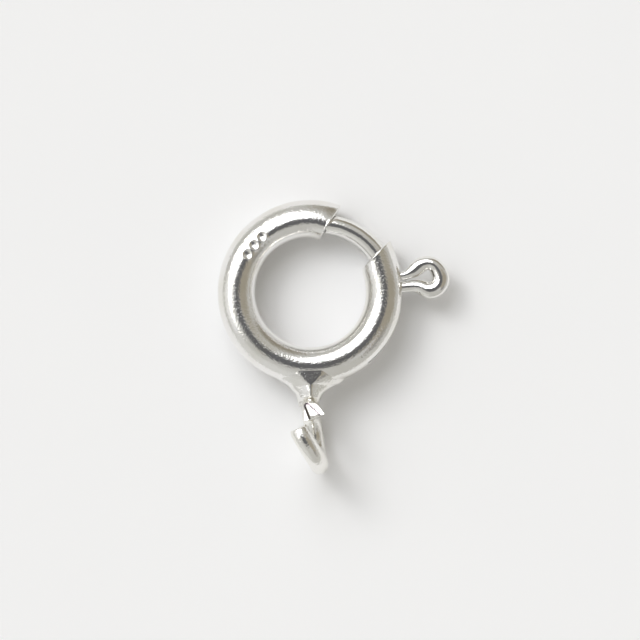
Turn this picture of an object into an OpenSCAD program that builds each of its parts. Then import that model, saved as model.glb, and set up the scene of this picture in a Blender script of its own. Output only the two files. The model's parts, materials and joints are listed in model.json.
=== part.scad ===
// A spring ring clasp of silver, 6 mm across, lying as it would on a table.
// The ring is bent from tube. A bent wire slides inside it, pushed shut by a small coil spring.
// The ring's own frame has its centre at the origin and its plane at Z = 0, with the saddle
// and the end loop towards -Y. Angles in that plane run anticlockwise from +X.
// The end loop stands across the ring and is taller than the tube, so the finished clasp
// is tilted about X until the tube's far side and the loop rest on one level.

/* [Ring] */
// Outside diameter of the ring
ring_od = 6; // [5.6:0.1:8]
// Outside diameter of the tube that the ring is bent from
tube_d = 1.22; // [1.1:0.01:1.3]
// Thickness of the tube's wall
tube_wall = 0.15; // [0.1:0.01:0.17]

/* [Opening] */
// Angle of the cut on the trigger's side
gap_start = 29.5; // [27:0.5:35]
// Angle of the cut on the far side
gap_end = 73.5; // [68:0.5:80]
// Lean of each cut, away from a true radius and towards the middle of the opening
cut_lean = 16; // [0:1:22]

/* [Punch marks] */
// Diameter of each round mark
mark_d = 0.32; // [0.2:0.01:0.34]
// Depth of each mark
mark_depth = 0.045; // [0.02:0.005:0.07]
// Distance from one mark to the next along the ring
mark_pitch = 0.37; // [0.36:0.01:0.5]
// Number of marks
mark_count = 3; // [1:1:4]
// Angle of the middle of the row
mark_angle = 141; // [120:1:160]
// How far the row lies inside the tube's crest line
mark_inset = 0.04; // [0:0.01:0.12]

/* [Latch wire] */
// Play between the wire and the tube's bore, on each side
wire_play = 0.15; // [0.12:0.005:0.2]
// Clearance left between the tail and the bore's outer side
rub_gap = 0.02; // [0.015:0.005:0.04]
// How far the tip lies inside the tube's middle line
tip_inset = 0.09; // [0.04:0.01:0.1]
// How far the tip reaches into the tube past the opening
tip_reach = 0.2; // [0.1:0.01:0.3]
// Length of the tail, from the trigger to the spring
tail_len = 1.15; // [0.8:0.05:1.4]
// Turn of the latch about the ring's centre, from shut to fully open
pull_angle = 50; // [46:1:54]

/* [Trigger] */
// Angle at which the trigger stands out of the ring
trigger_angle = 7.1; // [4:0.1:9]
// Distance from the ring's outside to the centre of the trigger's loop
trigger_reach = 0.92; // [0.86:0.01:1.1]
// Outside diameter of the trigger's loop
trigger_od = 1.34; // [1.2:0.01:1.5]
// Diameter of the wire in the trigger's loop
trigger_wire_d = 0.49; // [0.4:0.01:0.52]
// Diameter of each leg, which is pressed slimmer than the loop
leg_d = 0.34; // [0.28:0.01:0.36]
// Space between the two legs
leg_gap = 0.03; // [0.02:0.01:0.06]
// Clearance of the legs in the slot, above and below
slot_clear = 0.06; // [0.04:0.01:0.09]
// Clearance of the legs at each end of the slot
slot_end_clear = 0.06; // [0.04:0.01:0.1]

/* [Spring] */
// Diameter of the spring's wire
spring_wire_d = 0.12; // [0.08:0.01:0.13]
// Clearance between the coil and the bore
coil_clear = 0.07; // [0.04:0.005:0.09]
// Number of turns
spring_turns = 13; // [9:1:14]
// Clearance at each end of the spring
spring_gap = 0.03; // [0.02:0.01:0.05]
// Angle of the stop wall's face, counted backwards from +X
stop_angle = 152; // [145:1:165]
// Thickness of the stop wall
stop_t = 0.2; // [0.15:0.01:0.3]

/* [Saddle] */
// Width of the saddle where it hugs the tube
saddle_w = 2.15; // [1.9:0.05:2.3]
// Height of the saddle at the tube
saddle_h = 1.16; // [1:0.01:1.18]
// How far inside the ring's outside the saddle starts
saddle_bite = 0.5; // [0.46:0.01:0.56]
// How far beyond the ring's outside the saddle's top stays level
saddle_level = 0.04; // [0:0.01:0.1]
// Width of the neck
neck_w = 0.6; // [0.4:0.01:0.6]
// Height of the neck
neck_h = 0.5; // [0.4:0.01:0.6]
// Distance from the ring's outside to the end loop
neck_len = 0.43; // [0.38:0.01:0.55]

/* [End loop] */
// Outside diameter of the end loop
loop_od = 2.48; // [2.2:0.02:2.8]
// Diameter of the end loop's wire
loop_wire_d = 0.6; // [0.5:0.01:0.64]
// Sideways lean of the whole loop
loop_lean = 9; // [0:1:14]
// Extra lean of the short end that stands above the neck
stub_lean = 12; // [0:1:16]
// Turn round the loop, from the neck, at which the short end is cut
stub_angle = 56; // [42:1:60]
// Twist that opens the long end sideways
limb_twist = 22; // [12:1:32]
// Turn round the loop, from the neck, at which the long end is cut
limb_angle = 66; // [62:1:84]
// Angle between each face of the long end's edge and the wire
pinch_angle = 50; // [46:1:60]
// Angle between the long outer face of the short end and the wire at its edge
stub_bevel = 14; // [10:1:20]
// How far the bead at each joint of the wire stands out of it
joint_bead = 0.012; // [0.01:0.002:0.02]

/* [Hidden] */
silver = [0.86, 0.85, 0.82];
steel = [0.62, 0.63, 0.65];
$fn = 64;

// Radii of the ring, its tube and its bore
ring_or = ring_od / 2;
tube_r = tube_d / 2;
ring_r = ring_or - tube_r;
bore_r = tube_r - tube_wall;

// Angles are worked out from lengths along the ring's centreline
function turn_of(length, radius = ring_r) = length / radius * 180 / PI;

// Place on a circle about the ring's centre
function at(angle, radius) = radius * [cos(angle), sin(angle)];

// The trigger's legs and the slot that they travel in
trigger_r = ring_or + trigger_reach;
trigger_loop_r = (trigger_od - trigger_wire_d) / 2;
leg_side = (leg_d + leg_gap) / 2;
leg_root = ring_r;
leg_half = leg_side + leg_d / 2 + slot_end_clear;
slot_h = leg_d + 2 * slot_clear;
slot_from = trigger_angle - turn_of(leg_half, ring_or - tube_wall) - pull_angle;
slot_to = trigger_angle + turn_of(leg_half, ring_or - tube_wall);

// The latch wire leans. Its tail runs along the bore's outer side, about the ring's own centre.
// Under the trigger's nearer leg it goes over smoothly into a tighter arc, whose centre lies on
// the line to that place, and this crosses the tube to the tip on the bore's inner side.
wire_r = bore_r - wire_play;
tail_r = ring_r + wire_play - rub_gap;
tail_angle = trigger_angle - turn_of(tail_len);
join_angle = trigger_angle - turn_of(leg_side, ring_or);
// The tip is a dome about this place
dome_r = ring_r - tip_inset;
dome_angle = gap_end + turn_of(tip_reach - wire_r);
// The tighter arc's centre is as far from the join as from the dome's middle
lean = (pow(tail_r, 2) - pow(dome_r, 2)) / (2 * (tail_r - dome_r * cos(dome_angle - join_angle)));
lean_centre = at(join_angle, lean);
dome_turn = let (p = at(dome_angle, dome_r) - lean_centre) atan2(p[1], p[0]);

// How far the stop wall's rim is set into the tube's wall
stop_sink = tube_wall / 3;

// The spring's coil and its two ends
coil_r = bore_r - coil_clear - spring_wire_d / 2;
spring_from = tail_angle - turn_of(spring_gap + spring_wire_d / 2);
spring_to = -stop_angle + turn_of(spring_gap + spring_wire_d / 2);
coil_steps = 12;
coil_sides = 6;

// The end loop
loop_r = (loop_od - loop_wire_d) / 2;
bead_r = loop_wire_d / 2 + joint_bead;
// Each length of the loop runs a little way into the bead at its root
root_turn = 1;
neck_y = -(ring_or + neck_len + loop_wire_d / 2);

// The saddle starts inside the tube. Its sides and its top turn in at these places, and from
// there each is a hollow arc that ends upright at the neck.
saddle_y = -(ring_or - saddle_bite);
side_y = -(ring_or - saddle_bite / 4);
top_y = -(ring_or + saddle_level);
function hollow_r(wide, narrow, from_y) = let (w = (wide - narrow) / 2, l = from_y - neck_y)
    (w * w + l * l) / (2 * w);

// The clasp rests on the tube's far side and on the end loop
loop_y = neck_y - loop_r;
rest_tilt = asin((loop_od / 2 - tube_r) / (ring_r - loop_y));

// An arc of round wire about the Z axis
module wire_arc(radius, wire, from, to) {
    rotate([0, 0, from])
        rotate_extrude(angle = to - from)
            translate([radius, 0])
                circle(r = wire);
}

// Everything is drawn in the ring's frame and then laid to rest
module lay() {
    rotate([-rest_tilt, 0, 0])
        children();
}

// The slanted opening between the two ends of the tube
module opening() {
    near = at(gap_start, ring_r);
    far = at(gap_end, ring_r);
    half = tube_d * 0.7;
    near_run = at(gap_start + cut_lean, half);
    far_run = at(gap_end - cut_lean, half);
    translate([0, 0, -tube_d])
        linear_extrude(2 * tube_d)
            polygon([near - near_run, near + near_run, far + far_run, far - far_run]);
}

// The slot in the tube's outer wall that the trigger travels along
module trigger_slot() {
    rotate([0, 0, slot_from])
        rotate_extrude(angle = slot_to - slot_from)
            translate([ring_r + bore_r / 2, -slot_h / 2])
                square([tube_r, slot_h]);
}

// A row of shallow round punch marks on the crest of the tube
module punch_marks() {
    ball = (pow(mark_d / 2, 2) + pow(mark_depth, 2)) / (2 * mark_depth);
    step = turn_of(mark_pitch, ring_r - mark_inset);
    slope = asin(mark_inset / tube_r);
    for (i = [0:mark_count - 1])
        rotate([0, 0, mark_angle + (i - (mark_count - 1) / 2) * step])
            translate([ring_r, 0, 0])
                rotate([0, -slope, 0])
                    translate([0, 0, tube_r - mark_depth + ball])
                        sphere(r = ball);
}

// Half outline of the saddle, upright: wide at the tube, then hollowed down to the neck
module saddle_outline(wide, narrow, from_y) {
    round_r = hollow_r(wide, narrow, from_y);
    difference() {
        translate([0, -saddle_y])
            square([wide / 2, saddle_y - neck_y]);
        translate([narrow / 2 + round_r, -neck_y])
            circle(r = round_r);
    }
}

// The saddle that is soldered to the tube: seen along the neck it is a flat oval that wraps
// the tube's outside. From above it narrows to the neck like a trumpet turned on a lathe,
// and from the side its top and bottom come down to the neck.
module saddle() {
    rotate([90, 0, 0])
        intersection() {
            linear_extrude(-neck_y) {
                square([saddle_w - saddle_h, saddle_h], center = true);
                for (side = [-1, 1])
                    translate([side * (saddle_w - saddle_h) / 2, 0])
                        circle(d = saddle_h);
            }
            rotate_extrude()
                saddle_outline(saddle_w, neck_w, side_y);
            rotate([90, 0, -90])
                linear_extrude(saddle_w, center = true)
                    for (side = [0, 1])
                        mirror([side, 0])
                            saddle_outline(saddle_h, neck_h, top_y);
        }
}

// An arc of the end loop in its own plane, counted from the neck towards the viewer
module loop_arc(from, to) {
    translate([0, -loop_r, 0])
        rotate([90, 0, 90])
            wire_arc(loop_r, loop_wire_d / 2, from, to);
}

// The two cuts that bring a loop's end to an edge. side is 1 where the wire comes up to
// the edge from smaller angles and -1 where it comes from larger ones.
module pinch_cuts(angle, side, inner, outer) {
    block = 2 * loop_wire_d;
    translate([0, -loop_r, 0])
        rotate([angle, 0, 0])
            translate([0, loop_r, 0])
                for (flank = [-1, 1])
                    rotate([flank * side * (flank > 0 ? outer : inner), 0, 0])
                        translate([-block / 2, flank > 0 ? 0 : -block, -block])
                            cube([block, block, 2 * block]);
}

// A length of the end loop that ends in an edge. The root lies at the neck for the short end
// and at the bottom for the long one; inner and outer are the slopes of the edge's two faces.
module loop_end(root, edge, inner, outer) {
    side = sign(edge - root);
    ends = [root - side * root_turn, edge + side * root_turn];
    difference() {
        loop_arc(min(ends), max(ends));
        pinch_cuts(edge, side, inner, outer);
    }
}

// The open end loop: the short end over the neck, the round back, and the twisted long end
module end_loop() {
    translate([0, neck_y, 0]) {
        sphere(r = bead_r);
        rotate([0, 0, loop_lean + stub_lean])
            loop_end(0, stub_angle, pinch_angle, stub_bevel);
        rotate([0, 0, loop_lean]) {
            loop_arc(-180 - root_turn, root_turn);
            translate([0, -2 * loop_r, 0]) {
                sphere(r = bead_r);
                rotate([0, 0, limb_twist])
                    translate([0, 2 * loop_r, 0])
                        loop_end(180, limb_angle, pinch_angle, pinch_angle);
            }
        }
    }
}

// The hollow ring with everything that is soldered to it
module ring_tube() {
    color(silver)
        lay() {
            difference() {
                union() {
                    wire_arc(ring_r, tube_r, 0, 360);
                    saddle();
                }
                wire_arc(ring_r, bore_r, 0, 360);
                opening();
                trigger_slot();
                punch_marks();
            }
            wire_arc(ring_r, bore_r + stop_sink, -stop_angle - turn_of(stop_t), -stop_angle);
            end_loop();
        }
}

// The trigger: a small loop of wire on two legs
module trigger() {
    rotate([0, 0, trigger_angle]) {
        translate([trigger_r, 0, 0])
            wire_arc(trigger_loop_r, trigger_wire_d / 2, 0, 360);
        for (side = [-1, 1])
            translate([leg_root, side * leg_side, 0])
                rotate([0, 90, 0])
                    cylinder(h = trigger_r - trigger_loop_r - leg_root, d = leg_d);
    }
}

// The bent wire that closes the opening, with its tail and its trigger
module latch_wire() {
    color(silver)
        lay() {
            wire_arc(tail_r, wire_r, tail_angle, join_angle - root_turn);
            translate(at(join_angle, tail_r))
                sphere(r = wire_r + joint_bead);
            translate(lean_centre)
                wire_arc(tail_r - lean, wire_r, join_angle + root_turn, dome_turn);
            translate(at(dome_angle, dome_r))
                sphere(r = wire_r - joint_bead);
            trigger();
        }
}

// Middle of the spring's wire at a share of its length, with the directions across the wire
function coil_frame(t) =
    let (a = spring_from + t * (spring_to - spring_from),
         c = 360 * spring_turns * t,
         out = cos(c) * [cos(a), sin(a), 0] + sin(c) * [0, 0, 1],
         middle = ring_r * [cos(a), sin(a), 0])
    [middle + coil_r * out, out, [-sin(a), cos(a), 0]];

// The coil spring, swept round the bore's own arc
module spring() {
    rings = spring_turns * coil_steps;
    frames = [for (i = [0:rings]) coil_frame(i / rings)];
    points = [for (f = frames) for (s = [0:coil_sides - 1])
        let (a = 360 * s / coil_sides) f[0] + spring_wire_d / 2 * (cos(a) * f[1] + sin(a) * f[2])];
    sides = [for (i = [0:rings - 1]) for (s = [0:coil_sides - 1])
        let (a = i * coil_sides + s, b = i * coil_sides + (s + 1) % coil_sides)
        for (face = [[a, b, b + coil_sides], [a, b + coil_sides, a + coil_sides]]) face];
    start_cap = [for (s = [0:coil_sides - 1]) coil_sides - 1 - s];
    end_cap = [for (s = [0:coil_sides - 1]) rings * coil_sides + s];
    color(steel)
        lay()
            polyhedron(points = points, faces = concat(sides, [start_cap, end_cap]));
}

ring_tube();
latch_wire();
spring();
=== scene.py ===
import json
import math

import bpy
import numpy as np
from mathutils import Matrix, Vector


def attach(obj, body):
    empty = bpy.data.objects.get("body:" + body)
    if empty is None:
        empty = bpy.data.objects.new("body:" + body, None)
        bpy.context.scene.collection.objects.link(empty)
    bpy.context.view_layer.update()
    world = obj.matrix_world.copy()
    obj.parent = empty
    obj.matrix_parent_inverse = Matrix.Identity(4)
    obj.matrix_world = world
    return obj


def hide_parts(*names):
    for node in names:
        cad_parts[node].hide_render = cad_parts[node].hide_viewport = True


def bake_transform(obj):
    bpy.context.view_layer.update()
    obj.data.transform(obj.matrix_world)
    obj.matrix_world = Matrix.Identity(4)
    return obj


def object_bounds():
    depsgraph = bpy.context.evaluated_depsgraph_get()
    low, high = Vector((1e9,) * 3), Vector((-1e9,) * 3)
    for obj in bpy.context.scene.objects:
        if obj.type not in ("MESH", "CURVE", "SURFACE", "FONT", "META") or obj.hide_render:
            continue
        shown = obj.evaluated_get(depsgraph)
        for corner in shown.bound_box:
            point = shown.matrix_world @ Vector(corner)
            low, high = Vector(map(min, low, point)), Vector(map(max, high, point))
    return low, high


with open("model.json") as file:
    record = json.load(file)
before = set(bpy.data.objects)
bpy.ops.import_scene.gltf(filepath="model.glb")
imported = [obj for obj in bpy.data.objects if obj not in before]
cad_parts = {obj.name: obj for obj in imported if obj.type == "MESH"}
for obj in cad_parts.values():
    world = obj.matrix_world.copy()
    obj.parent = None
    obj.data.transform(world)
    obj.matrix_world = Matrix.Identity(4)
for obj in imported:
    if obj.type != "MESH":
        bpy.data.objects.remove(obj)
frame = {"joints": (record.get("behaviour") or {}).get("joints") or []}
cadLow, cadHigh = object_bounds()
print("frame loaded")

# The clasp is worked out in millimetres in the ring's own frame: centre at the origin, the ring's plane at
# z = 0, the end loop towards -y, angles in degrees anticlockwise from +x. layDown then tilts it to rest, in
# metres.
bench = {
    "mm": 0.001,
    "restAxis": np.array(frame["joints"][0]["axis"]),    # the hinge runs down along the ring's own axis
    "sharp": 38,                           # an edge that bends by more degrees stays crisp
    "hair": 1e-6,                          # lengths and angles nearer than this are the same
}


# turns points about x by the rest tilt, whose sine and cosine are read off the hinge's axis
def layDown(points):
    sine, cosine = -bench["restAxis"][1], -bench["restAxis"][2]
    x, y, z = points[..., 0], points[..., 1], points[..., 2]
    return np.stack([x, y * cosine + z * sine, z * cosine - y * sine], axis=-1) * bench["mm"]


# place on a circle about z
def onCircle(angle, radius, z=0.0):
    turn = np.radians(angle)
    return np.stack(np.broadcast_arrays(radius * np.cos(turn), radius * np.sin(turn), z), axis=-1)


# turns points about z round a pivot
def swing(points, angle, pivot):
    turn = np.radians(angle)
    x, y = points[..., 0] - pivot[0], points[..., 1] - pivot[1]
    return np.stack([
        x * np.cos(turn) - y * np.sin(turn) + pivot[0],
        x * np.sin(turn) + y * np.cos(turn) + pivot[1],
        points[..., 2] + 0 * turn,
    ], axis=-1)


# 0 below low, 1 above high, and 3t^2 - 2t^3 between them
def ease(value, low, high):
    t = np.clip((value - low) / (high - low), 0, 1)
    return t * t * (3 - 2 * t)


# 1 at the middle and exp(-t^2) beside it, where t is the distance from the middle over the width
def bell(value, middle, width):
    return np.exp(-((value - middle) / width)**2)


# lines from stop to stop, each stretch cut into equal steps no longer than its own step
def ruled(stops, steps):
    parts = [
        np.linspace(a, b, max(1, math.ceil(abs(b - a) / step)), endpoint=False)
        for a, b, step in zip(stops[:-1], stops[1:], steps)
    ]
    return np.concatenate(parts + [stops[-1:]])


# route through chosen rows of numbers: on each stretch a cubic whose slope at a point is half the step
# between that point's two neighbours
def throughPoints(rows, step):
    rows = np.asarray(rows, float)
    padded = np.vstack([2 * rows[0] - rows[1], rows, 2 * rows[-1] - rows[-2]])
    count = np.ceil(np.linalg.norm(np.diff(rows[:, :2], axis=0), axis=1) / step).astype(int)
    piece = np.repeat(np.arange(len(count)), count)
    t = ((np.arange(len(piece)) - np.repeat(np.cumsum(count) - count, count)) / count[piece])[:, None]
    a, b, c, d = (padded[piece + k] for k in range(4))
    route = 0.5 * (2 * b + (c - a) * t + (2 * a - 5 * b + 4 * c - d) * t**2 + (3 * b - a - 3 * c + d) * t**3)
    return np.vstack([route, rows[-1]])


# distance along a route from its first point
def lengthAlong(route):
    return np.concatenate([[0.0], np.cumsum(np.linalg.norm(np.diff(route, axis=0), axis=1))])


# four-cornered faces of a grid of point numbers, with a flat coordinate in mm for each corner
def facesOf(index, along, around):
    flat = np.stack(np.meshgrid(along, around, indexing="ij"), axis=-1)
    corners = [
        (slice(None, -1), slice(None, -1)), (slice(1, None), slice(None, -1)),
        (slice(1, None), slice(1, None)), (slice(None, -1), slice(1, None)),
    ]
    quads = np.stack([index[c] for c in corners], axis=-1)
    flats = np.stack([flat[c] for c in corners], axis=-2)
    return quads.reshape(-1, 4), flats.reshape(-1, 4, 2)


# point numbers of a closed tube: the last column meets the first, and each end row is one point
def tubeIndex(rows, columns):
    index = np.arange(rows * columns).reshape(rows, columns)
    index[0] = index[0, 0]
    index[-1] = index[-1, 0]
    return np.hstack([index, index[:, :1]])


# Puts points and faces into a mesh as whole arrays, with a value of painted shade at each point where the
# piece has one. A corner that repeats its neighbour is dropped, so a row that is one point closes as a pole.
# A solid that comes out inside out is turned round.
def makePiece(name, points, quads, flats, paintedShade=None):
    a, b, c, d = (points[quads[:, k]] for k in range(4))
    volume = np.einsum("ij,ij->", (a + b + c + d) / 4, np.cross(c - a, d - b)) / 6
    if volume < 0:
        quads, flats = quads[:, ::-1], flats[:, ::-1]
    keep = quads != np.roll(quads, -1, axis=1)
    sides = keep.sum(axis=1)
    keep &= (sides >= 3)[:, None]
    sides = sides[sides >= 3]
    used, corner = np.unique(quads[keep], return_inverse=True)
    mesh = bpy.data.meshes.new(name)
    mesh.vertices.add(len(used))
    mesh.vertices.foreach_set("co", layDown(points[used]).astype(np.float32).ravel())
    mesh.loops.add(len(corner))
    mesh.loops.foreach_set("vertex_index", corner.astype(np.int32))
    mesh.polygons.add(len(sides))
    mesh.polygons.foreach_set("loop_start", (np.cumsum(sides) - sides).astype(np.int32))
    mesh.update(calc_edges=True)
    mesh.polygons.foreach_set("use_smooth", np.ones(len(sides), bool))
    mesh.uv_layers.new(name="UVMap").data.foreach_set("uv", flats[keep].astype(np.float32).ravel())
    # painted shade: a darkening of the base colour, kept at each point
    if paintedShade is not None:
        values = mesh.attributes.new("paintedShade", "FLOAT", "POINT").data
        values.foreach_set("value", paintedShade[used].astype(np.float32))
    mesh.validate()
    mesh.set_sharp_from_angle(angle=math.radians(bench["sharp"]))
    piece = bpy.data.objects.new(name, mesh)
    bpy.context.scene.collection.objects.link(piece)
    print(name, "has", len(sides), "faces")
    return piece


ring = {
    "outer": 6.0, "tube": 1.22, "wall": 0.15,
    "gapStart": 29.5, "gapEnd": 73.5, "cutLean": 16.0,
    # rounding of the cut tube's two rims, and the rows it takes
    "edge": 0.05, "boreEdge": 0.025, "edgeRows": 5,
    # the low lip that the saw threw up beside each cut
    "burr": 0.011, "burrAt": 0.042, "burrWide": 0.028,
    # The cut by the trigger is flared, the other one is drawn in, and its wall is thicker round the wire's
    # tip. Each form fades out over its reach, and each cut's slant over its blend.
    "nearEnd": {"reach": 12.5, "shift": 0.062, "stretch": 0.017, "blend": 12.5},
    "farEnd": {"reach": 24.0, "shift": -0.059, "stretch": 0.047, "blend": 26.0},
    "mouth": {"reach": 8.0, "radius": 0.36, "shift": -0.031},
    "slotFrom": -51.2, "slotTo": 15.4, "slotHeight": 0.46, "slotEdge": 0.012,
    "markAngle": 141.0, "markPitch": 0.37, "markCount": 3, "markSize": 0.32, "markDepth": 0.045,
    "markInset": 0.04,                     # the marks lie a little inside the crest
    "markLip": 0.007, "lipAt": 1.05, "lipWide": 0.2,    # height in mm, place and width in radii of a mark
    # the punches pressed the outer shoulder beside them a little flat
    "press": 0.05, "pressFrom": 128.0, "pressTo": 178.0,
    # waves left by hand polishing: how many go round the ring, where they start, their share of the height
    "ripple": 0.002, "waves": [(2, 0.7, 1.0), (5, 2.1, 0.7), (11, 0.4, 0.4)], "waveLean": 0.5,
    "plainFrom": 0.6, "plainTo": 0.9,      # share of an end's form at which the waves and marks stop
    # the grid's rows, in degrees along the ring: closest beside the cuts, close at the marks
    "farRows": 6.0, "nearRows": 5.0, "markRowsFrom": 125, "markRowsTo": 158,
    "rowSteps": {"cut": 0.3, "marks": 0.42, "slot": 0.95, "long": 1.0, "short": 0.6},
    "boreSteps": {"short": 1.2, "long": 2.6},
    # its columns, in degrees round the tube: closest on the crest
    "crestFrom": 76, "crestTo": 118, "columnSteps": {"slot": 4.6, "side": 3.8, "crest": 1.75},
    "seam": 0.01,                          # length that the flat coordinates give to the closing row
}
ringMiddle = (ring["outer"] - ring["tube"]) / 2
tubeRadius = ring["tube"] / 2
boreRadius = tubeRadius - ring["wall"]
perMm = math.degrees(1 / ringMiddle)       # degrees that a millimetre takes along the middle line


# angle at which a point of a slanted cut lies: the cut is the straight line through the middle of the tube at
# its own angle, and a point at radius r on it is asin(middle * sin(lean) / r) away from the line's direction
def cutAngle(angle, lean, radius):
    return angle - lean + np.degrees(np.arcsin(ringMiddle * math.sin(math.radians(lean)) / radius))


# Height of the three round punch marks: a shallow bowl with a lip thrown up round it, at a distance d from
# its middle -depth * (1 - (d/r)^2) inside, and a low bell just outside.
def punchMarks(angle, around):
    sit = 90 + math.degrees(math.asin(ring["markInset"] / tubeRadius))
    reach = ring["markSize"] / 2
    lift = np.zeros(np.broadcast(angle, around).shape)
    for number in range(ring["markCount"]):
        step = (number - (ring["markCount"] - 1) / 2) * ring["markPitch"]
        along = np.radians(angle - ring["markAngle"]) * (ringMiddle - ring["markInset"]) - step
        across = np.radians(around - sit) * tubeRadius
        d = np.hypot(along, across) / reach
        lift += np.where(d < 1, -ring["markDepth"] * (1 - d**2), 0)
        lift += ring["markLip"] * bell(d, ring["lipAt"], ring["lipWide"])
    return lift


# how far out through the tube's wall a radius lies, 0 at the bore and 1 at the outside
def throughWall(radius):
    return np.clip((radius - boreRadius) / ring["wall"], 0, 1)


# The tube's form. The angle is the place along it, the radius r is the distance from its middle line, and
# around is the angle v round that line, from the outer side over the crest. A point is
# (middle + shift + r * stretch * cos v) from the ring's centre and r * sin v high. By the marks r is less by
# press * sin 2v * sin^2 v, which moves the crest inwards and keeps the sides. Towards a cut, shift and
# stretch grow as the square of the share of the reach, a burr rises, and the place turns onto the slant.
def tubeForm(angle, radius, around):
    start, finish = ring["gapEnd"], ring["gapStart"] + 360
    near, far, mouth = ring["nearEnd"], ring["farEnd"], ring["mouth"]
    turn, v = np.radians(angle), np.radians(around)
    nearShare = np.clip((angle - finish) / near["reach"] + 1, 0, 1)**2
    farShare = np.clip((start - angle) / far["reach"] + 1, 0, 1)**2
    outside = radius > tubeRadius - bench["hair"]
    plain = 1 - ease(np.maximum(nearShare, farShare), ring["plainFrom"], ring["plainTo"])
    whole, side, upper = (share * np.sin(count * turn + phase) for count, phase, share in ring["waves"])
    ripple = whole + side * np.cos(v) + upper * np.sin(v + ring["waveLean"])
    pressed = ring["press"] * (1 - ease(angle, ring["pressFrom"], ring["pressTo"])) * throughWall(radius)
    radius = radius - pressed * np.sin(2 * v) * np.where(np.sin(v) > 0, np.sin(v)**2, 0)
    radius = radius + np.where(outside, plain, 0) * (ring["ripple"] * ripple + punchMarks(angle, around))
    wallShare = throughWall(radius)
    toCut = np.minimum(finish - angle, angle - start) / perMm
    radius = radius + ring["burr"] * wallShare * bell(toCut, ring["burrAt"], ring["burrWide"])
    closing = (1 - ease(angle, start, start + mouth["reach"])) * (1 - wallShare)
    radius = radius + (mouth["radius"] - boreRadius) * closing
    # the bore itself runs true at the near cut
    shift = near["shift"] * nearShare * wallShare + far["shift"] * farShare + mouth["shift"] * closing
    stretch = 1 + near["stretch"] * nearShare + far["stretch"] * farShare
    fromCentre = ringMiddle + shift + radius * stretch * np.cos(v)
    nearTurn = cutAngle(ring["gapStart"], -ring["cutLean"], fromCentre) - ring["gapStart"]
    farTurn = cutAngle(ring["gapEnd"], ring["cutLean"], fromCentre) - ring["gapEnd"]
    place = angle + nearTurn * ease(angle, finish - near["blend"], finish)
    place = place + farTurn * (1 - ease(angle, start, start + far["blend"]))
    return onCircle(place, fromCentre, radius * np.sin(v))


# The slot's wall goes once round the opening, from its outer edge to its inner one. A point is
# outer * (1 - share) + inner * share, with share its depth over the wall's thickness, moved into the slot
# by an inset, and near both edges the two follow a small round.
def slotWall(points, index, rowAngle, low, high, backHigh, columns):
    lip, wall = ring["slotEdge"], ring["wall"]
    fall, reach = 0.3, 0.7                 # middle of a round edge, as shares of its radius
    rows, hole = np.arange(low, high), np.arange(columns)
    edgeRow = np.concatenate([rows, np.full(columns, high), rows[::-1] + 1, np.full(columns, low)])
    edgeColumn = np.concatenate([
        np.zeros(len(rows), int), hole, np.full(len(rows), columns), hole[::-1] + 1,
    ])
    backRow = backHigh + high - edgeRow
    outer, inner = points[edgeRow, edgeColumn], points[backRow, edgeColumn]
    alongRing = onCircle(rowAngle[edgeRow] + 90, 1.0)
    up = np.array([0, 0, 1.0])
    inward = (alongRing * ((edgeRow == low) * 1.0 - (edgeRow == high))[:, None]
              + up * ((edgeColumn == 0) * 1.0 - (edgeColumn == columns))[:, None])
    depth = np.array([fall * lip, lip, wall - lip, wall - fall * lip])
    inset = np.array([reach * lip, lip, lip, reach * lip])
    share = (depth / wall)[:, None, None]
    sheet = outer * (1 - share) + inner * share + inward * inset[:, None, None]
    number = points[..., 0].size + np.arange(sheet[..., 0].size).reshape(sheet.shape[:2])
    sheetIndex = np.vstack([index[edgeRow, edgeColumn], number, index[backRow, edgeColumn]])
    sheetIndex = np.hstack([sheetIndex, sheetIndex[:, :1]])
    rim = lengthAlong(np.vstack([outer, outer[:1]]))
    quads, flats = facesOf(sheetIndex, np.concatenate([[0], depth, [wall]]), rim)
    return sheet.reshape(-1, 3), quads[:, ::-1], flats[:, ::-1]


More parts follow.
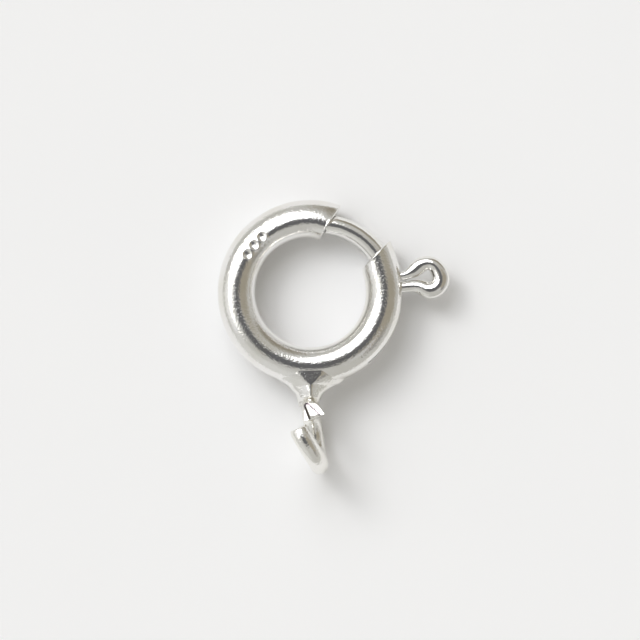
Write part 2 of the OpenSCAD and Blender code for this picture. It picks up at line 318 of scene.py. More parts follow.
# The tube: rows run along its outside from the far cut round to the near one, over that rim, back through
# the bore and over the far rim, and columns run round it. At the slot, faces are left out and a wall joins
# the two openings.
def ringTube():
    start, finish = ring["gapEnd"], ring["gapStart"] + 360
    edge, boreEdge, lip = ring["edge"], ring["boreEdge"], ring["slotEdge"]
    slotLow = ring["slotFrom"] + 360 - lip * perMm
    slotHigh = ring["slotTo"] + 360 + lip * perMm
    steps, boreSteps = ring["rowSteps"], ring["boreSteps"]
    slotLines = ruled([slotLow, slotHigh], [steps["slot"]])
    beforeSlot = ruled(
        [start + edge * perMm, start + ring["farRows"], ring["markRowsFrom"], ring["markRowsTo"], slotLow],
        [steps["cut"], steps["long"], steps["marks"], steps["long"]],
    )
    afterSlot = ruled(
        [slotHigh, finish - ring["nearRows"], finish - edge * perMm],
        [steps["short"], steps["cut"]],
    )
    outside = np.concatenate([beforeSlot[:-1], slotLines[:-1], afterSlot])
    inside = np.concatenate([
        ruled([finish - boreEdge * perMm, slotHigh], [boreSteps["short"]])[:-1],
        slotLines[::-1][:-1],
        ruled([slotLow, start + boreEdge * perMm], [boreSteps["long"]]),
    ])
    # the rims, each a quarter round at the outside and a smaller one at the bore
    bend = np.radians(np.linspace(0, 90, ring["edgeRows"] + 1))[1:]
    rimRadius = np.concatenate([
        tubeRadius - edge * (1 - np.cos(bend)),
        boreRadius + boreEdge * (1 - np.sin(bend[::-1])),
    ])
    rimBack = np.concatenate([edge * (1 - np.sin(bend)), boreEdge * (1 - np.cos(bend[::-1]))]) * perMm
    rowAngle = np.concatenate([outside, finish - rimBack, inside, start + rimBack[::-1]])
    rowRadius = np.concatenate([
        np.full(len(outside), tubeRadius), rimRadius,
        np.full(len(inside), boreRadius), rimRadius[::-1],
    ])
    # the first columns span the slot, whose edge is as high on every row
    slotHalf = ring["slotHeight"] / 2 + lip
    slotSide = math.degrees(math.asin(slotHalf / tubeRadius))
    spacing = ring["columnSteps"]
    columns = ruled(
        [-slotSide, slotSide, ring["crestFrom"], ring["crestTo"], 360 - slotSide],
        [spacing["slot"], spacing["side"], spacing["crest"], spacing["side"]],
    )[:-1]
    slotColumns = np.searchsorted(columns, slotSide - bench["hair"])
    rowSide = np.degrees(np.arcsin(slotHalf / rowRadius))[:, None]
    beside = (columns - slotSide) / (180 - slotSide) * (180 - rowSide)
    around = np.where(columns <= slotSide, columns / slotSide * rowSide, rowSide + beside)
    points = tubeForm(rowAngle[:, None], rowRadius[:, None], around)
    rows, count = points.shape[:2]
    index = np.arange(rows * count).reshape(rows, count)
    index = np.hstack([index, index[:, :1]])
    index = np.vstack([index, index[:1]])
    along = lengthAlong(points[:, count // 3])
    along = np.append(along, along[-1] + ring["seam"])
    quads, flats = facesOf(index, along, np.radians(np.append(columns, columns[0] + 360)) * tubeRadius)
    # faces between the slot's lines are left out, outside and inside
    low, high = np.searchsorted(outside, [slotLow - bench["hair"], slotHigh - bench["hair"]])
    firstInside = len(outside) + len(rimRadius)
    backHigh = firstInside + np.argmin(np.abs(inside - slotHigh))
    backLow = firstInside + np.argmin(np.abs(inside - slotLow))
    row, column = np.divmod(np.arange(len(quads)), count)
    inSlot = ((row >= low) & (row < high)) | ((row >= backHigh) & (row < backLow))
    kept = ~((column < slotColumns) & inSlot)
    wall, wallQuads, wallFlats = slotWall(points, index, rowAngle, low, high, backHigh, slotColumns)
    everything = np.vstack([points.reshape(-1, 3), wall])
    return everything, np.vstack([quads[kept], wallQuads]), np.vstack([flats[kept], wallFlats])


ringPiece = makePiece("ring_tube_silver", *ringTube())

# the disc's profile has shares of its radius and of half its thickness, from the middle to the rim
stopWall = {
    "face": -152.0, "thick": 0.2, "grip": 0.05, "columnStep": 10,
    "profile": np.array([(0, 1), (0.5, 1), (0.93, 1), (0.98, 0.93), (1, 0.7)]),
}


# The stop wall: a disc across the bore, rows from the middle of one face over its rim to the other's
def stopDisc():
    radius = boreRadius + stopWall["grip"]
    half = stopWall["thick"] / 2
    reach, height = stopWall["profile"].T
    reach = radius * np.concatenate([reach, reach[::-1]])
    height = half * np.concatenate([height, -height[::-1]])
    around = np.radians(np.arange(0, 361, stopWall["columnStep"]))
    across = reach[:, None] * np.cos(around[:-1])
    up = reach[:, None] * np.sin(around[:-1])
    middle = stopWall["face"] - math.degrees(half / ringMiddle)
    points = onCircle(middle, ringMiddle + across, up) + onCircle(middle + 90, 1.0) * height[:, None, None]
    quads, flats = facesOf(tubeIndex(*points.shape[:2]), np.linspace(0, 1, len(reach)), around * radius)
    return points.reshape(-1, 3), quads, flats


stopPiece = makePiece("stop_wall_silver", *stopDisc())

saddle = {
    # distance from the ring's centre, left and right half widths as the photo's outline has them
    "outline": [
        (2.70, 1.02, 1.12), (2.80, 1.02, 1.12), (2.87, 0.98, 1.09), (2.93, 0.88, 1.04),
        (2.99, 0.77, 0.93), (3.06, 0.685, 0.745), (3.13, 0.63, 0.60), (3.21, 0.565, 0.485),
        (3.29, 0.49, 0.41), (3.37, 0.45, 0.355), (3.45, 0.435, 0.32), (3.58, 0.41, 0.26),
        (3.72, 0.37, 0.22),
    ],
    # the same distance, the crown's height, its flat's half width, and the fall of the faces left and right
    "crown": [
        (2.50, 0.597, 0.42, 0.30, 0.30), (2.70, 0.597, 0.34, 0.38, 0.45), (2.90, 0.597, 0.18, 0.48, 0.65),
        (2.97, 0.595, 0.11, 0.50, 0.70), (3.03, 0.593, 0.04, 0.50, 0.75), (3.15, 0.587, 0.015, 0.54, 0.85),
        (3.25, 0.576, 0.015, 0.60, 0.9), (3.35, 0.558, 0.02, 0.66, 0.9), (3.42, 0.53, 0.04, 0.50, 0.8),
        (3.47, 0.43, 0.07, 0.50, 0.6), (3.56, 0.30, 0.08, 0.50, 0.5), (3.72, 0.28, 0.08, 0.50, 0.5),
    ],
    "routeStep": 0.01,
    "foot": -2.72, "end": -3.70, "tip": 0.01,
    "sink": 0.02,                          # how deep its foot lies under the tube's surface
    "side": 0.01, "sideFrom": 2.6, "sideTo": 2.9,    # its crown lies a little to the right
    # roundness of the section: the oval's own power and height, and how sharp its corners are
    "ovalPower": 2.6, "ovalHigh": 1.12, "crownCorner": 60, "sideCorner": 9,
    # low waves that the file left on the left face: height, waves across and along, and where they begin
    "filed": 0.006, "filedAcross": 17, "filedAlong": 9,
    "filedSide": 0.15, "filedFrom": 2.85, "filedTo": 3.0,
    "capRows": 8, "rows": 72, "columnStep": 2.0, "flatWide": 2,
}


# The saddle: a section seen along the neck is an oval, half a width wide on each side, cut by a level crown
# and two slanting faces beside it. In one direction from the middle the oval lies at
# ((cos/wide)^q + (sin/high)^q)^(-1/q), a slanting face at (crown + fall * flat) / (cos * fall + sin) and the
# crown at crown / sin. The nearest one counts, with the corners between them a little eased.
def saddleShape():
    phi = np.radians(np.arange(0, 360, saddle["columnStep"]))
    cap = np.linspace(0, 1, saddle["capRows"], endpoint=False)[:, None]
    down = np.linspace(0, 1, saddle["rows"])[:, None]
    sine, cosine = np.abs(np.sin(phi)), np.abs(np.cos(phi))
    outline = throughPoints(saddle["outline"], saddle["routeStep"])
    crown = throughPoints(saddle["crown"], saddle["routeStep"])
    power, crownCorner, sideCorner = saddle["ovalPower"], saddle["crownCorner"], saddle["sideCorner"]

    def section(y):
        left, right = (np.interp(-y, outline[:, 0], outline[:, k]) for k in (1, 2))
        high, flat, leftFall, rightFall = (np.interp(-y, crown[:, 0], crown[:, k]) for k in (1, 2, 3, 4))
        wide = np.where(np.cos(phi) > 0, right, left)
        fall = np.where(np.cos(phi) > 0, rightFall, leftFall)
        oval = ((cosine / wide)**power + (sine / (high * saddle["ovalHigh"]))**power)**(-1 / power)
        slant = (high + fall * flat) / (cosine * fall + sine)
        level = high / np.maximum(sine, bench["hair"])
        wave = np.sin(saddle["filedAcross"] * slant * np.cos(phi) + saddle["filedAlong"] * y)
        onLeft = ease(-np.cos(phi), 0, saddle["filedSide"])
        filing = saddle["filed"] * wave * onLeft * ease(-y, saddle["filedFrom"], saddle["filedTo"])
        top = ((slant + filing)**-crownCorner + level**-crownCorner)**(-1 / crownCorner)
        return (oval**-sideCorner + top**-sideCorner)**(-1 / sideCorner)

    hidden = tubeRadius - saddle["sink"]

    def onTube(x, z):
        return -np.sqrt((ringMiddle + np.sqrt(np.maximum(hidden**2 - z**2, 0)))**2 - x**2)

    foot = section(np.full(phi.shape, saddle["foot"]))
    x, z = foot * np.cos(phi), foot * np.sin(phi)
    capPoints = np.stack([cap * x, onTube(cap * x, cap * z), cap * z], axis=-1)
    y = onTube(x, z) * (1 - down) + saddle["end"] * down
    radius = section(y)
    side = saddle["side"] * sine**2 * ease(-y, saddle["sideFrom"], saddle["sideTo"])
    body = np.stack([radius * np.cos(phi) + side, y, radius * np.sin(phi)], axis=-1)
    tip = np.broadcast_to([saddle["side"], saddle["end"] - saddle["tip"], 0], body[-1:].shape)
    points = np.vstack([capPoints, body, tip])
    along = lengthAlong(points[:, len(phi) // 4])
    flatAround = np.linspace(0, saddle["flatWide"], len(phi) + 1)
    quads, flats = facesOf(tubeIndex(*points.shape[:2]), along, flatAround)
    return points.reshape(-1, 3), quads, flats


saddlePiece = makePiece("saddle_silver", *saddleShape())

# Turns are degrees round the loop from the neck: up over the short end (the stub) is plus, down and round to
# the long end (the limb) is minus.
endLoop = {
    "middle": 0.94, "wire": 0.297, "neck": -3.73, "neckSide": -0.01,
    "stubCut": 56.0, "limbCut": -294.0,    # where its two ends are cut
    "lean": 9.0, "stubLean": 12.0, "stubFrom": -25, "stubTo": 25,
    "limbFrom": 160, "limbTo": 230,
    "limbTwist": 22.0, "twistFrom": 150, "twistTo": 215,
    "limbBack": -5.0, "backFrom": 215, "backTo": 290,    # the limb is turned back about its own edge
    "limbWide": 0.015,                     # and a little flattened
    "pinch": 50.0, "limbPinch": 64.0,      # slope of each cut face
    "land": 0.012,                         # half the blunt edge that the cutters left
    "stubSpread": 0.04, "limbSpread": -0.05, "spreadPower": 1.5,    # how the metal widens where it is pinched
    "bevel": 12.0, "faceFrom": -60, "faceReach": 80,    # slope and extent of the stub's long outer face
    "faceCorner": 9, "cutCorner": 14,      # how sharply the flat faces turn into the round wire
    # a hollow pressed into the long face: its depth, the width of its slope, its left side, top and right
    # side, and how much its corners are rounded
    "sink": 0.03, "slope": 0.08, "left": -0.20, "top": 0.51, "right": 0.235, "rightSlant": 2.02,
    "rounding": 0.035,
    "paintedShadeAt": 0.03, "paintedShadeWide": 0.035,   # painted shade: a dark line along the hollow's slope, its place and width
    # shallow grooves of the cutters in the long face
    "groove": 0.007, "grooves": 24.0, "grooveStart": 0.6, "grooveFrom": 20, "grooveTo": 40,
    "stubRows": 38, "limbRows": 22, "rowSteps": [0.9, 2.4, 0.9], "columnStep": 4.0,
    "flatWide": 1.76,
}


# The end loop: a wire on a standing circle. Near each end its height is held under distance * tan(pinch),
# which cuts it to an edge, and its width changes as the height goes. The stub's outer side is cut by a plane
# instead, which lies middle * cos(bevel) / cos(turn - cut - bevel) from the circle's centre. A point of this
# face is -rounding * ln(sum of exp(-distance / rounding)) inside the hollow, summed over its three sides.
# The whole loop leans, the stub leans more, and the limb is swung about the loop's point opposite the neck.
def endLoopShape():
    top, bottom, middle = endLoop["stubCut"], endLoop["limbCut"], endLoop["middle"]
    stops = [top, top - endLoop["stubRows"], bottom + endLoop["limbRows"], bottom]
    turns = ruled(stops, endLoop["rowSteps"])[:, None]
    distance = np.radians(np.minimum(top - turns, turns - bottom)) * middle
    slope = np.tan(np.radians(np.where(turns > 0, endLoop["pinch"], endLoop["limbPinch"])))
    limit = endLoop["land"] + distance * slope
    pinched = np.clip(1 - limit / endLoop["wire"], 0, 1)
    limbShare = ease(-turns, endLoop["limbFrom"], endLoop["limbTo"])
    spread = endLoop["stubSpread"] * (1 - limbShare) + endLoop["limbSpread"] * limbShare
    around = np.radians(np.arange(0, 360, endLoop["columnStep"]))
    half = endLoop["wire"] + spread * pinched**endLoop["spreadPower"] + endLoop["limbWide"] * limbShare
    across = half * np.cos(around)
    out = endLoop["wire"] * np.sin(around)
    # the long face, its hollow, its grooves and the painted shade along the hollow's slope
    bevel, reach = endLoop["bevel"], endLoop["faceReach"]
    facing = np.cos(np.radians(np.clip(turns - top - bevel, -reach, reach)))
    plane = middle * (math.cos(math.radians(bevel)) / facing - 1) + endLoop["land"]
    fromEnd = np.radians(top - turns) * middle
    slant, rounding = endLoop["rightSlant"], endLoop["rounding"]
    rightSide = (slant * (endLoop["right"] - across) - fromEnd) / math.hypot(1, slant)
    sides = (across - endLoop["left"], endLoop["top"] - fromEnd, rightSide)
    inside = -rounding * np.log(sum(np.exp(-side / rounding) for side in sides))
    grooves = endLoop["groove"] * np.sin(across * endLoop["grooves"] + endLoop["grooveStart"])
    plane = plane - endLoop["sink"] * ease(inside, 0, endLoop["slope"])
    plane = plane + grooves * ease(turns, endLoop["grooveFrom"], endLoop["grooveTo"])
    longFace = (out > 0) & (turns > endLoop["faceFrom"])
    # painted shade: a dark band drawn along the slope of the hollow on the long face
    paintedShade = np.where(longFace, bell(inside, endLoop["paintedShadeAt"], endLoop["paintedShadeWide"]), 0)
    paintedShade = np.vstack([0 * paintedShade[:1], paintedShade, 0 * paintedShade[:1]])
    limit = np.where(longFace, np.clip(plane, endLoop["land"], 1), limit)
    corner = np.where(longFace, endLoop["faceCorner"], endLoop["cutCorner"])
    out = out / (1 + (np.abs(out) / limit)**corner)**(1 / corner)
    # the section goes to its place on the circle, each end row closes in its middle, and the loop is bent
    turn = np.radians(turns)
    radius = middle + out
    points = np.stack([across, radius * np.cos(turn) - middle, radius * np.sin(turn)], axis=-1)
    ends = [np.broadcast_to(row.mean(axis=1, keepdims=True), row.shape) for row in (points[:1], points[-1:])]
    points = np.vstack([ends[0], points, ends[1]])
    turns = np.vstack([turns[:1], turns, turns[-1:]])
    twist = endLoop["limbTwist"] * ease(-turns, endLoop["twistFrom"], endLoop["twistTo"])
    points = swing(points, twist, (0, -2 * middle))
    edge = points[-1].mean(axis=0)
    points = swing(points, endLoop["limbBack"] * ease(-turns, endLoop["backFrom"], endLoop["backTo"]), edge)
    lean = endLoop["lean"] + endLoop["stubLean"] * ease(turns, endLoop["stubFrom"], endLoop["stubTo"])
    points = swing(points, lean, (0, 0)) + np.array([endLoop["neckSide"], endLoop["neck"], 0])
    flatAround = np.linspace(0, endLoop["flatWide"], len(around) + 1)
    quads, flats = facesOf(tubeIndex(*points.shape[:2]), lengthAlong(points[:, 0]), flatAround)
    return points.reshape(-1, 3), quads, flats, paintedShade.ravel()


loopPiece = makePiece("end_loop_silver", *endLoopShape())
for piece in (ringPiece, stopPiece, saddlePiece, loopPiece):
    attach(piece, "ring")
    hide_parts("ring_tube")

latch = {
    "wire": 0.31, "tip": 78.8, "tail": -20.5, "tailMiddle": 2.52,
    # direction and distance of the centre of the arc through the gap, and the arc's radius
    "leanFrom": 3.57, "lean": 0.325, "leanRadius": 2.195,
    "triggerAngle": 7.1,
    # the trigger's own route: distance from the ring's centre, side, half width, half height
    "route": [
        (2.455, 0.44, 0.275, 0.28), (2.53, 0.30, 0.22, 0.235), (2.68, 0.20, 0.17, 0.19),
        (2.88, 0.165, 0.14, 0.165), (3.06, 0.163, 0.15, 0.165), (3.23, 0.215, 0.178, 0.175),
        (3.41, 0.29, 0.246, 0.185), (3.61, 0.425, 0.257, 0.205), (3.86, 0.475, 0.225, 0.225),
        (4.09, 0.36, 0.24, 0.235), (4.24, -0.02, 0.285, 0.24), (4.10, -0.33, 0.28, 0.24),
        (3.80, -0.41, 0.28, 0.235), (3.56, -0.275, 0.245, 0.205), (3.36, -0.212, 0.203, 0.18),
        (3.10, -0.20, 0.18, 0.165), (2.86, -0.21, 0.18, 0.175), (2.62, -0.28, 0.215, 0.21),
        (2.52, -0.42, 0.27, 0.27),
    ],
    "leadTo": 20, "leadStep": -6, "awayFrom": -6.0, "awayStep": -4.83,    # points on the arcs, in degrees
    "step": 0.03, "columnStep": 9, "flatWide": 1.57,
    "dome": 0.09, "tailDome": 0.06, "domeRows": 8,
    "evenStep": 0.01, "softReach": 20, "softWidth": 7,    # a bell of so many even steps softens the bends
}


# The latch wire: one route in the ring's plane, from the tip through the gap, out into the trigger's loop,
# back in and on to the tail. The route is averaged under a bell, an oval section is carried along it, and
# both ends are domed by sqrt(1 - (1 - s/dome)^2).
def latchShape():
    lead = np.arange(latch["tip"], latch["leadTo"], latch["leadStep"])
    off = np.radians(lead - latch["leanFrom"])
    lean, wire = latch["lean"], latch["wire"]
    radius = lean * np.cos(off) + np.sqrt(latch["leanRadius"]**2 - (lean * np.sin(off))**2)
    leadIn = np.column_stack([onCircle(lead, radius)[:, :2], np.full((len(lead), 2), wire)])
    route = np.array(latch["route"])
    turned = swing(np.column_stack([route[:, :2], 0 * route[:, :1]]), latch["triggerAngle"], (0, 0))
    trigger = np.column_stack([turned[:, :2], route[:, 2:]])
    away = np.arange(latch["awayFrom"], latch["tail"], latch["awayStep"])
    tail = np.column_stack([onCircle(away, latch["tailMiddle"])[:, :2], np.full((len(away), 2), wire)])
    path = throughPoints(np.vstack([leadIn, trigger, tail]), latch["step"])
    along = lengthAlong(path[:, :2])
    dome, tailDome = latch["dome"], latch["tailDome"]
    bend = np.radians(np.linspace(0, 90, latch["domeRows"], endpoint=False))
    rows = np.concatenate([
        dome * (1 - np.cos(bend)),
        ruled([dome, along[-1] - tailDome], [latch["step"]]),
        along[-1] - tailDome * (1 - np.cos(bend[::-1])),
    ])
    places = np.arange(0, along[-1], latch["evenStep"])
    even = np.column_stack([np.interp(places, along, path[:, k]) for k in range(4)])
    n = latch["softReach"]
    weights = np.exp(-0.5 * (np.arange(-n, n + 1) / latch["softWidth"])**2)
    weights = weights / weights.sum()
    padded = np.vstack([2 * even[0] - even[n:0:-1], even, 2 * even[-1] - even[-2:-n - 2:-1]])
    even = np.column_stack([np.convolve(padded[:, k], weights, mode="valid") for k in range(4)])
    reach = lengthAlong(even[:, :2])
    rows = rows * reach[-1] / along[-1]
    x, y, wide, high = (np.interp(rows, reach, even[:, k]) for k in range(4))
    slope = np.gradient(even[:, :2], axis=0)
    run = np.column_stack([np.interp(rows, reach, slope[:, k]) for k in range(2)])
    run /= np.linalg.norm(run, axis=1, keepdims=True)
    end = np.sqrt(np.clip(1 - np.clip(1 - rows / dome, 0, 1)**2, 0, 1))
    end *= np.sqrt(np.clip(1 - np.clip(1 - (rows[-1] - rows) / tailDome, 0, 1)**2, 0, 1))
    around = np.radians(np.arange(0, 360, latch["columnStep"]))
    side = (wide * end)[:, None] * np.cos(around)
    up = (high * end)[:, None] * np.sin(around)
    points = np.stack([x[:, None] - run[:, 1:] * side, y[:, None] + run[:, :1] * side, up], axis=-1)
    flatAround = np.linspace(0, latch["flatWide"], len(around) + 1)
    quads, flats = facesOf(tubeIndex(*points.shape[:2]), rows, flatAround)
    return points.reshape(-1, 3), quads, flats


latchPiece = makePiece("latch_wire_silver", *latchShape())
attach(latchPiece, "latch")
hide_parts("latch_wire")

spring = {
    "wire": 0.105, "coil": 0.34, "turns": 13, "from": -22.6, "to": -149.8,
    "closer": 0.8,                         # the pitch at both ends is less by this share over the turns
    "rowsPerTurn": 26, "columnStep": 36, "flatWide": 0.33,
}


# The spring: a round wire on a helix whose own axis is the tube's middle circle. The turns lie a little
# closer towards both ends and a little wider halfway.
def springShape():
    t = np.linspace(0, 1, spring["turns"] * spring["rowsPerTurn"] + 1)[:, None]
    closing = spring["closer"] * np.sin(2 * np.pi * t) / (2 * np.pi * spring["turns"])
    angle = spring["from"] + (spring["to"] - spring["from"]) * (t - closing)
    coil = 2 * np.pi * spring["turns"] * t
    outward, run = onCircle(angle, 1.0), onCircle(angle + 90, 1.0)
    across = np.cos(coil)[..., None] * outward + np.sin(coil)[..., None] * np.array([0, 0, 1.0])
    middle = onCircle(angle, ringMiddle) + spring["coil"] * across
    around = np.radians(np.arange(0, 360, spring["columnStep"]))[:, None]
    points = middle + spring["wire"] / 2 * (np.cos(around) * across + np.sin(around) * run)
    ends = [np.broadcast_to(row, points[:1].shape) for row in (middle[:1], middle[-1:])]
    points = np.vstack([ends[0], points, ends[1]])
    flatAround = np.linspace(0, spring["flatWide"], len(around) + 1)
    quads, flats = facesOf(tubeIndex(*points.shape[:2]), lengthAlong(points[:, 0]), flatAround)
    return points.reshape(-1, 3), quads, flats


springPiece = makePiece("spring_coil", *springShape())
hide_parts("spring")
layDown(onCircle(spring["to"], ringMiddle)).tolist()
layDown(onCircle(spring["from"], ringMiddle)).tolist()
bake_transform(springPiece)


# makes a node and sets its sockets by name or number, from a value or from another node's output
def addNode(tree, kind, inputs=None, **settings):
    node = tree.nodes.new(kind)
    for name, value in settings.items():
        setattr(node, name, value)
    for name, value in (inputs or {}).items():
        if isinstance(value, bpy.types.NodeSocket):
            tree.links.new(value, node.inputs[name])
        else:
            node.inputs[name].default_value = value
    return node


# mixes two colours by a factor
def mixColours(tree, factor, first, second):
    return addNode(tree, "ShaderNodeMix", {"Factor": factor, "A": first, "B": second}, data_type="RGBA")


# starts a node group with the given inputs, each a name, a socket kind and a value, and outputs
def startGroup(name, inputs, outputs):
    group = bpy.data.node_groups.new(name, "ShaderNodeTree")
    for label, kind, value in inputs:
        socket = group.interface.new_socket(label, in_out="INPUT", socket_type=kind)
        socket.default_value = value
    for label in outputs:
        group.interface.new_socket(label, in_out="OUTPUT", socket_type="NodeSocketFloat")
    return group, group.nodes.new("NodeGroupInput"), group.nodes.new("NodeGroupOutput")


# strengths and sizes of what the polishing and the handling left on all the metal, and the painted shade's
# colour
wear = {
    "stretch": (0.02, 0.4, 1.0),           # how polishing lines are drawn out, along the wire and across it
    "bump": 0.01,                          # height in mm of the fine relief
    # clouds in a metre, the noise at which a dull patch begins and is full, and how dull it gets
    "patchScale": 900.0, "patchFrom": 0.45, "patchTo": 0.75, "patchShare": 0.55,
    # how many times finer the pits and the grain are than the clouds, and a pit's radius in cells
    "pitFiner": 9.0, "pitRadius": 0.12, "grainFiner": 18.0,
    # colour of the painted shade on the end loop's long face
    "paintedShade": (0.05, 0.035, 0.045),
}


# Hair-fine polishing lines: noise drawn out along the wire on the piece's own flat coordinates in mm
def polishLines():
    group, given, result = startGroup("polish lines", [
        ("Vector", "NodeSocketVector", (0, 0, 0)), ("Fineness", "NodeSocketFloat", 40.0),
    ], ["Height"])
    stretched = addNode(group, "ShaderNodeVectorMath", {
        0: given.outputs["Vector"], 1: wear["stretch"],
    }, operation="MULTIPLY")
    noise = addNode(group, "ShaderNodeTexNoise", {
        "Vector": stretched.outputs[0], "Scale": given.outputs["Fineness"], "Detail": 3.0,
    })
    group.links.new(noise.outputs["Fac"], result.inputs["Height"])
    return group


# Handling marks by place on the clasp: soft dull patches from a cloudy noise, small pits round the scattered
# points of a cell pattern, and a fine grain
def handlingMarks():
    group, given, result = startGroup("handling marks", [
        ("Vector", "NodeSocketVector", (0, 0, 0)), ("Scale", "NodeSocketFloat", wear["patchScale"]),
    ], ["Patches", "Pits", "Grain"])
    place, scale = given.outputs["Vector"], given.outputs["Scale"]
    cloud = addNode(group, "ShaderNodeTexNoise", {"Vector": place, "Scale": scale, "Detail": 4.0})
    patches = addNode(group, "ShaderNodeMapRange", {
        "Value": cloud.outputs["Fac"], "From Min": wear["patchFrom"], "From Max": wear["patchTo"],
    })
    pitScale = addNode(group, "ShaderNodeMath", {0: scale, 1: wear["pitFiner"]}, operation="MULTIPLY")
    specks = addNode(group, "ShaderNodeTexVoronoi", {"Vector": place, "Scale": pitScale.outputs[0]})
    pits = addNode(group, "ShaderNodeMapRange", {
        "Value": specks.outputs["Distance"], "From Min": 0.0, "From Max": wear["pitRadius"],
        "To Min": 1.0, "To Max": 0.0,
    })
    grainScale = addNode(group, "ShaderNodeMath", {0: scale, 1: wear["grainFiner"]}, operation="MULTIPLY")
    grain = addNode(group, "ShaderNodeTexNoise", {
        "Vector": place, "Scale": grainScale.outputs[0], "Detail": 2.0,
    })
    group.links.new(grain.outputs["Fac"], result.inputs["Grain"])
    group.links.new(patches.outputs["Result"], result.inputs["Patches"])
    group.links.new(pits.outputs["Result"], result.inputs["Pits"])
    return group


polishGroup = polishLines()
handlingGroup = handlingMarks()

# Each metal's colour and the veil over its dull patches, roughness where smooth and where dull, how fine its
# polishing lines are, and the shares of lines, grain and pits in its relief
finishes = {
    "silver": {
        "colour": (0.895, 0.885, 0.865), "veil": (0.83, 0.815, 0.76), "smooth": 0.045, "dull": 0.14,
        "fineness": 40.0, "lines": 0.12, "grain": 0.75, "pits": 0.15,
    },
    "loop_silver": {
        "colour": (0.91, 0.90, 0.865), "veil": (0.85, 0.83, 0.77), "smooth": 0.13, "dull": 0.30,
        "fineness": 30.0, "lines": 0.15, "grain": 0.7, "pits": 0.12,
    },
    "silver_wire": {
        "colour": (0.91, 0.90, 0.875), "veil": (0.84, 0.83, 0.78), "smooth": 0.05, "dull": 0.15,
        "fineness": 52.0, "lines": 0.15, "grain": 0.35, "pits": 0.1,
    },
    "spring_steel": {
        "colour": (0.62, 0.62, 0.63), "veil": (0.45, 0.43, 0.40), "smooth": 0.2, "dull": 0.42,
        "fineness": 70.0, "lines": 0.5, "grain": 0.6, "pits": 0.2,
    },
}


# One metal finish. The base colour goes to the veil in the dull patches and nearly to black in the painted
# shade, and the roughness runs from smooth towards dull with the patches. The relief is
# lines * share + grain * share - pits * share, and makes a very low bump.
def metalFinish(name):
    look = finishes[name]
    material = bpy.data.materials.new(name)
    material.use_nodes = True
    tree = material.node_tree
    tree.nodes.clear()
    place = addNode(tree, "ShaderNodeTexCoord")
    lines = addNode(tree, "ShaderNodeGroup", node_tree=polishGroup)
    tree.links.new(place.outputs["UV"], lines.inputs["Vector"])
    lines.inputs["Fineness"].default_value = look["fineness"]
    marks = addNode(tree, "ShaderNodeGroup", node_tree=handlingGroup)
    tree.links.new(place.outputs["Object"], marks.inputs["Vector"])
    patches = marks.outputs["Patches"]
    veiled = mixColours(tree, patches, (*look["colour"], 1), (*look["veil"], 1))
    # painted shade: the colour is darkened nearly to black by the painted shade value at each point
    paintedShade = addNode(tree, "ShaderNodeAttribute", attribute_name="paintedShade")
    paintedShadeMix = mixColours(tree, paintedShade.outputs["Fac"], veiled.outputs["Result"], (*wear["paintedShade"], 1))
    patchShare = addNode(tree, "ShaderNodeMath", {0: patches, 1: wear["patchShare"]}, operation="MULTIPLY")
    rough = addNode(tree, "ShaderNodeMapRange", {
        "Value": patchShare.outputs[0], "To Min": look["smooth"], "To Max": look["dull"],
    })
    grain, pits = (
        addNode(tree, "ShaderNodeMath", {0: marks.outputs[label], 1: look[share]}, operation="MULTIPLY")
        for label, share in (("Grain", "grain"), ("Pits", "pits"))
    )
    scratched = addNode(tree, "ShaderNodeMath", {
        0: lines.outputs["Height"], 1: look["lines"], 2: grain.outputs[0],
    }, operation="MULTIPLY_ADD")
    relief = addNode(tree, "ShaderNodeMath", {
        0: scratched.outputs[0], 1: pits.outputs[0],
    }, operation="SUBTRACT")
    bump = addNode(tree, "ShaderNodeBump", {
        "Height": relief.outputs[0], "Strength": 1.0, "Distance": wear["bump"] * bench["mm"],
    })
    shader = addNode(tree, "ShaderNodeBsdfPrincipled", {
        "Base Color": paintedShadeMix.outputs["Result"], "Roughness": rough.outputs["Result"],
        "Normal": bump.outputs["Normal"], "Metallic": 1.0,
    })
    addNode(tree, "ShaderNodeOutputMaterial", {"Surface": shader.outputs["BSDF"]})
    return material


metals = {name: metalFinish(name) for name in finishes}
for piece, name, slot in (
    (ringPiece, "silver", "silver"), (stopPiece, "silver", "silver"), (saddlePiece, "silver", "silver"),
    (loopPiece, "loop_silver", "silver"), (latchPiece, "silver_wire", "silver_wire"),
    (springPiece, "spring_steel", "spring_steel"),
):
    piece.data.materials.append(metals[name])
print("metals done")

table = {
    "across": 0.6, "steps": 60,            # metres, and squares along a side
    "tone": (0.955, 0.955, 0.955), "shade": (0.94, 0.94, 0.942), "cloudScale": 180.0,
    "roughness": 0.9, "shine": 0.1,
}


# The table: a level grid at the clasp's lowest point, with the faintest unevenness in its tone
def pageUnder(level):
    line = np.linspace(-table["across"] / 2, table["across"] / 2, table["steps"] + 1)
    x, y = np.meshgrid(line, line, indexing="ij")
    points = np.stack([x, y, np.full_like(x, level)], axis=-1).reshape(-1, 3)
    quads, _ = facesOf(np.arange(x.size).reshape(x.shape), line, line)
    mesh = bpy.data.meshes.new("table_top")
    mesh.from_pydata(points.tolist(), [], quads.tolist())
    sheet = bpy.data.objects.new("table_top", mesh)
    bpy.context.scene.collection.objects.link(sheet)
    material = bpy.data.materials.new("pale card")
    material.use_nodes = True
    tree = material.node_tree
    tree.nodes.clear()
    place = addNode(tree, "ShaderNodeTexCoord")
    cloud = addNode(tree, "ShaderNodeTexNoise", {
        "Vector": place.outputs["Object"], "Scale": table["cloudScale"], "Detail": 2.0,
    })
    tone = mixColours(tree, cloud.outputs["Fac"], (*table["tone"], 1), (*table["shade"], 1))
    shader = addNode(tree, "ShaderNodeBsdfPrincipled", {
        "Base Color": tone.outputs["Result"], "Roughness": table["roughness"],
        "Specular IOR Level": table["shine"],
    })
    addNode(tree, "ShaderNodeOutputMaterial", {"Surface": shader.outputs["BSDF"]})
    mesh.materials.append(material)
    return sheet


pageUnder(cadLow.z)

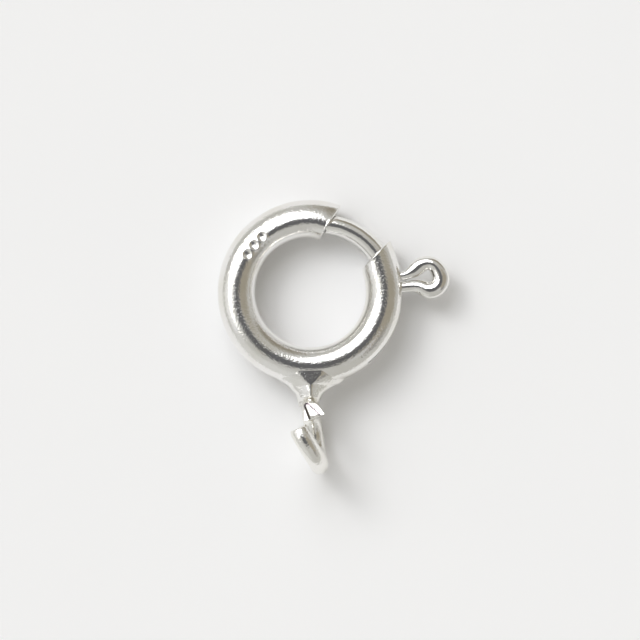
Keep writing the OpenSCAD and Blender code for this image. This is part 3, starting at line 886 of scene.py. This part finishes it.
# Soft light by direction: a room tone, broad soft boxes and the dark of the camera overhead. Each box has
# an azimuth and a distance from the zenith in degrees, an inner and an outer radius, and a strength.
room = {
    "tone": (0.537, 0.53, 0.505),
    "boxes": [
        {"azimuth": 5, "down": 40, "inner": 15, "outer": 37, "strength": (0.36, 0.33, 0.27)},
        {"azimuth": 60, "down": 84, "inner": 12, "outer": 34, "strength": (0.29, 0.265, 0.215)},
        {"azimuth": 232, "down": 74, "inner": 14, "outer": 42, "strength": (0.68, 0.68, 0.66)},
        {"azimuth": 330, "down": 56, "inner": 5, "outer": 13, "strength": (0.30, 0.29, 0.28)},
        {"azimuth": 322, "down": 34, "inner": 4, "outer": 11, "strength": (0.60, 0.60, 0.60)},
        {"azimuth": 116, "down": 42, "inner": 17, "outer": 25, "strength": (2.97, 3.0, 3.09)},
        {"azimuth": 147, "down": 47, "inner": 13, "outer": 21, "strength": (2.77, 2.8, 2.89)},
        {"azimuth": 180, "down": 62, "inner": 14, "outer": 24, "strength": (0.85, 0.85, 0.85)},
        {"azimuth": 182, "down": 44, "inner": 5, "outer": 13, "strength": (1.6, 1.6, 1.6)},
        {"azimuth": 134, "down": 50, "inner": 7, "outer": 12, "strength": (9.5, 9.5, 9.5)},
    ],
    "camera": {"azimuth": 0, "down": 0, "inner": 15, "outer": 24, "strength": (0.13, 0.13, 0.135)},
}


# The room's light: the tone, over which each box is mixed in turn. A box's share falls from its inner to its
# outer radius by a smooth step on the cosine of the angle from its middle.
def roomLight():
    world = bpy.data.worlds.new("studio")
    world.use_nodes = True
    tree = world.node_tree
    tree.nodes.clear()
    direction = addNode(tree, "ShaderNodeTexCoord").outputs["Generated"]
    light = (*room["tone"], 1)
    for box in (*room["boxes"], room["camera"]):
        azimuth, down = math.radians(box["azimuth"]), math.radians(box["down"])
        flat = math.sin(down)
        middle = (math.cos(azimuth) * flat, math.sin(azimuth) * flat, math.cos(down))
        dot = addNode(tree, "ShaderNodeVectorMath", {0: direction, 1: middle}, operation="DOT_PRODUCT")
        share = addNode(tree, "ShaderNodeMapRange", {
            "Value": dot.outputs["Value"],
            "From Min": math.cos(math.radians(box["outer"])),
            "From Max": math.cos(math.radians(box["inner"])),
        }, interpolation_type="SMOOTHSTEP")
        light = mixColours(tree, share.outputs["Result"], light, (*box["strength"], 1)).outputs["Result"]
    background = addNode(tree, "ShaderNodeBackground", {"Color": light})
    addNode(tree, "ShaderNodeOutputWorld", {"Surface": background.outputs[0]})
    bpy.context.scene.world = world


roomLight()
bpy.context.scene.view_settings.view_transform = "Standard"
print("light done")

# place, field and sensor in millimetres, clipping in metres
view = {"x": 0.303, "y": -0.894, "height": 200.0, "field": 20.645, "sensor": 36.0, "near": 0.001, "far": 10}


# The camera looks straight down from a long way off, so that the square picture spans the field
def cameraAbove():
    data = bpy.data.cameras.new("camera")
    data.sensor_width = view["sensor"]
    data.lens = view["sensor"] * view["height"] / view["field"]
    data.clip_start, data.clip_end = view["near"], view["far"]
    camera = bpy.data.objects.new("camera", data)
    camera.location = [view[side] * bench["mm"] for side in ("x", "y", "height")]
    bpy.context.scene.collection.objects.link(camera)
    bpy.context.scene.camera = camera


cameraAbove()
